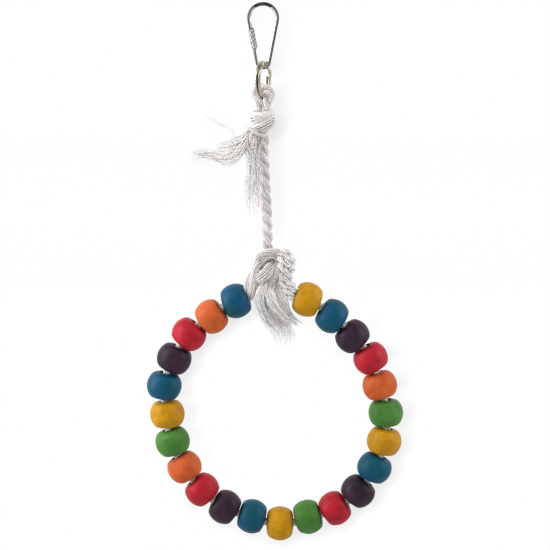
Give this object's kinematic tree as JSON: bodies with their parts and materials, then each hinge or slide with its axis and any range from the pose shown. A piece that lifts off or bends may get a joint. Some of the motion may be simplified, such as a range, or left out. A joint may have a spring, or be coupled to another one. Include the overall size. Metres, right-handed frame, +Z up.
{
  "type": "hanging bead ring perch",
  "caption": "Hanging bird swing: a pear-shaped screw link and a split ring carry a knotted cotton rope whose lower loop is threaded with dyed wooden beads to perch on.",
  "frame": {"origin": "hang point: the inside of the link's top bend, where the cage bar sits", "axes": "+Z up along the hanging line, the bead ring in the XZ plane, +Y away from the viewer of the picture"},
  "size_m": [0.1404, 0.0198, 0.2996],
  "materials": {
    "link_metal": "bright nickel plate",
    "ring_metal": "bright nickel plate, warm",
    "rope_cotton": "undyed twisted cotton",
    "bead_blue": "dyed, satin",
    "bead_orange": "dyed, satin",
    "bead_red": "dyed, satin",
    "bead_purple": "dyed, satin",
    "bead_yellow": "dyed, satin",
    "bead_green": "dyed, satin"
  },
  "bodies": {
    "link": {"link_wire": "link_metal"},
    "sleeve": {"link_sleeve": "link_metal"},
    "ring": {"split_ring": "ring_metal"},
    "hanger": {"rope_eye": "rope_cotton", "upper_knot": "rope_cotton", "upper_tail_left": "rope_cotton", "upper_tail_ply": "rope_cotton", "upper_tail_down": "rope_cotton", "hanger_rope": "rope_cotton"},
    "hoop": {"lower_knot": "rope_cotton", "lower_tail": "rope_cotton", "loop_rope": "rope_cotton"},
    "bead_01": {"bead_01": "bead_blue"},
    "bead_02": {"bead_02": "bead_orange"},
    "bead_03": {"bead_03": "bead_red"},
    "bead_04": {"bead_04": "bead_purple"},
    "bead_05": {"bead_05": "bead_blue"},
    "bead_06": {"bead_06": "bead_yellow"},
    "bead_07": {"bead_07": "bead_green"},
    "bead_08": {"bead_08": "bead_orange"},
    "bead_09": {"bead_09": "bead_red"},
    "bead_10": {"bead_10": "bead_purple"},
    "bead_11": {"bead_11": "bead_blue"},
    "bead_12": {"bead_12": "bead_yellow"},
    "bead_13": {"bead_13": "bead_green"},
    "bead_14": {"bead_14": "bead_red"},
    "bead_15": {"bead_15": "bead_purple"},
    "bead_16": {"bead_16": "bead_blue"},
    "bead_17": {"bead_17": "bead_yellow"},
    "bead_18": {"bead_18": "bead_green"},
    "bead_19": {"bead_19": "bead_orange"},
    "bead_20": {"bead_20": "bead_red"},
    "bead_21": {"bead_21": "bead_purple"},
    "bead_22": {"bead_22": "bead_blue"},
    "bead_23": {"bead_23": "bead_yellow"}
  },
  "joints": [
    {"name": "sleeve_slide", "type": "slide", "parent": "link", "child": "sleeve", "axis": [0.1875, 0, -0.9823], "range_m": [0, 0.0056]},
    {"name": "ring_swing", "type": "hinge", "parent": "link", "child": "ring", "pos_m": [0, 0, -0.0337], "axis": [0.9511, -0.309, 0], "range_deg": [-60, 60]},
    {"name": "hanger_swing", "type": "hinge", "parent": "ring", "child": "hanger", "pos_m": [0, 0, -0.04936], "axis": [0.309, 0.9511, 0], "range_deg": [-60, 60]},
    {"name": "hoop_twist", "type": "hinge", "parent": "hanger", "child": "hoop", "pos_m": [0.0022, 0, -0.13423], "axis": [0, 0, 1], "range_deg": [-180, 180], "stiffness_Nm_per_rad": 0.002},
    {"name": "bead_01_spin", "type": "hinge", "parent": "hoop", "child": "bead_01", "pos_m": [-0.01495, 0, -0.16267], "axis": [-0.948, 0, -0.3183], "continuous": true},
    {"name": "bead_02_spin", "type": "hinge", "parent": "hoop", "child": "bead_02", "pos_m": [-0.02822, 0, -0.17142], "axis": [-0.8193, 0, -0.5734], "continuous": true},
    {"name": "bead_03_spin", "type": "hinge", "parent": "hoop", "child": "bead_03", "pos_m": [-0.04058, 0, -0.18121], "axis": [-0.6266, 0, -0.7793], "continuous": true},
    {"name": "bead_04_spin", "type": "hinge", "parent": "hoop", "child": "bead_04", "pos_m": [-0.04875, 0, -0.19486], "axis": [-0.3931, 0, -0.9195], "continuous": true},
    {"name": "bead_05_spin", "type": "hinge", "parent": "hoop", "child": "bead_05", "pos_m": [-0.05423, 0, -0.21001], "axis": [-0.1446, 0, -0.9895], "continuous": true},
    {"name": "bead_06_spin", "type": "hinge", "parent": "hoop", "child": "bead_06", "pos_m": [-0.05269, 0, -0.22603], "axis": [0.0969, 0, -0.9953], "continuous": true},
    {"name": "bead_07_spin", "type": "hinge", "parent": "hoop", "child": "bead_07", "pos_m": [-0.04977, 0, -0.24158], "axis": [0.3194, 0, -0.9476], "continuous": true},
    {"name": "bead_08_spin", "type": "hinge", "parent": "hoop", "child": "bead_08", "pos_m": [-0.04332, 0, -0.25611], "axis": [0.5205, 0, -0.8538], "continuous": true},
    {"name": "bead_09_spin", "type": "hinge", "parent": "hoop", "child": "bead_09", "pos_m": [-0.03368, 0, -0.26882], "axis": [0.7001, 0, -0.714], "continuous": true},
    {"name": "bead_10_spin", "type": "hinge", "parent": "hoop", "child": "bead_10", "pos_m": [-0.02119, 0, -0.27875], "axis": [0.8509, 0, -0.5253], "continuous": true},
    {"name": "bead_11_spin", "type": "hinge", "parent": "hoop", "child": "bead_11", "pos_m": [-0.0063, 0, -0.28412], "axis": [0.957, 0, -0.29], "continuous": true},
    {"name": "bead_12_spin", "type": "hinge", "parent": "hoop", "child": "bead_12", "pos_m": [0.00907, 0, -0.28814], "axis": [0.9998, 0, -0.021], "continuous": true},
    {"name": "bead_13_spin", "type": "hinge", "parent": "hoop", "child": "bead_13", "pos_m": [0.0245, 0, -0.28443], "axis": [0.9659, 0, 0.259], "continuous": true},
    {"name": "bead_14_spin", "type": "hinge", "parent": "hoop", "child": "bead_14", "pos_m": [0.03942, 0, -0.27945], "axis": [0.8532, 0, 0.5216], "continuous": true},
    {"name": "bead_15_spin", "type": "hinge", "parent": "hoop", "child": "bead_15", "pos_m": [0.05209, 0, -0.26973], "axis": [0.6727, 0, 0.7399], "continuous": true},
    {"name": "bead_16_spin", "type": "hinge", "parent": "hoop", "child": "bead_16", "pos_m": [0.06108, 0, -0.25646], "axis": [0.4457, 0, 0.8952], "continuous": true},
    {"name": "bead_17_spin", "type": "hinge", "parent": "hoop", "child": "bead_17", "pos_m": [0.06633, 0, -0.24131], "axis": [0.1984, 0, 0.9801], "continuous": true},
    {"name": "bead_18_spin", "type": "hinge", "parent": "hoop", "child": "bead_18", "pos_m": [0.06717, 0, -0.22534], "axis": [-0.046, 0, 0.9989], "continuous": true},
    {"name": "bead_19_spin", "type": "hinge", "parent": "hoop", "child": "bead_19", "pos_m": [0.06373, 0, -0.20984], "axis": [-0.2731, 0, 0.962], "continuous": true},
    {"name": "bead_20_spin", "type": "hinge", "parent": "hoop", "child": "bead_20", "pos_m": [0.05871, 0, -0.19473], "axis": [-0.4788, 0, 0.8779], "continuous": true},
    {"name": "bead_21_spin", "type": "hinge", "parent": "hoop", "child": "bead_21", "pos_m": [0.04872, 0, -0.18235], "axis": [-0.6633, 0, 0.7484], "continuous": true},
    {"name": "bead_22_spin", "type": "hinge", "parent": "hoop", "child": "bead_22", "pos_m": [0.03748, 0, -0.17115], "axis": [-0.8214, 0, 0.5703], "continuous": true},
    {"name": "bead_23_spin", "type": "hinge", "parent": "hoop", "child": "bead_23", "pos_m": [0.02404, 0, -0.16186], "axis": [-0.9388, 0, 0.3444], "continuous": true}
  ]
}
